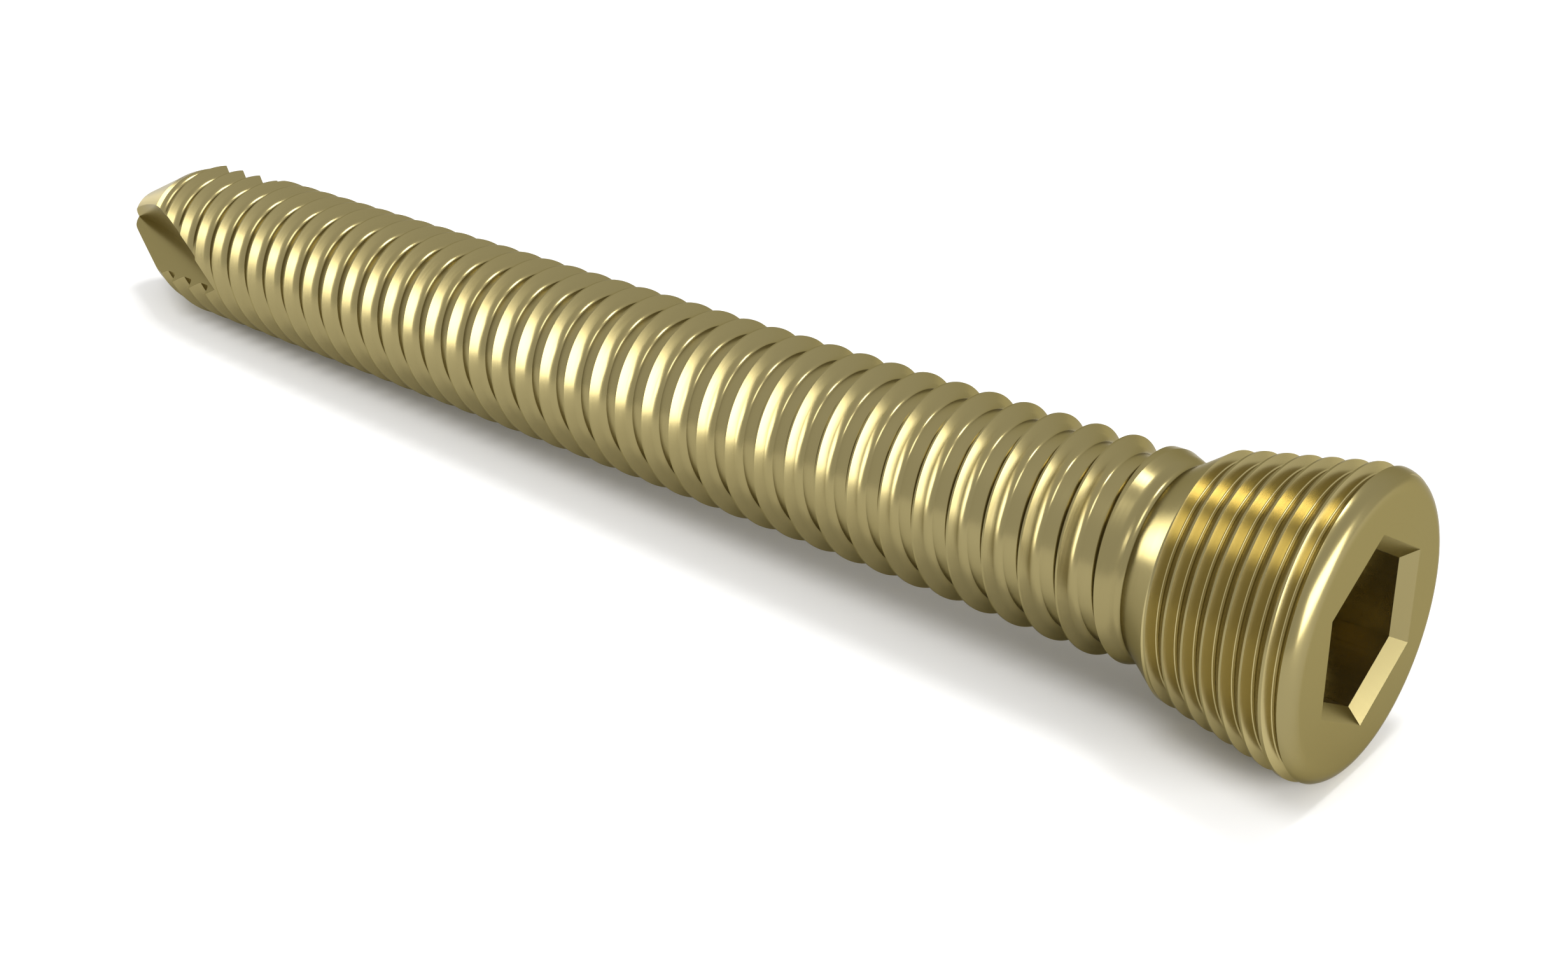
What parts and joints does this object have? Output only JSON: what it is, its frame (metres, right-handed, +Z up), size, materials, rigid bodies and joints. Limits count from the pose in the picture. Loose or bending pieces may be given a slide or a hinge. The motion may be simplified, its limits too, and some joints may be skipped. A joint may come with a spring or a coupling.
{
  "type": "locking bone screw",
  "caption": "Gold anodised bone screw with a hexagon socket, a threaded tapered locking head, a helical bone thread and a fluted self-tapping tip.",
  "frame": {"origin": "on the ground, below the middle of the screw as it lies", "axes": "+X from the tip to the head, +Z up from the ground, +Y away from the side that the flutes and the socket are seen from"},
  "size_m": [0.0472, 0.007, 0.007],
  "materials": {
    "anodised_titanium": "titanium with a thin gold anodised layer, satin polished"
  },
  "bodies": {
    "root": {"locking_bone_screw": "anodised_titanium"}
  },
  "joints": []
}
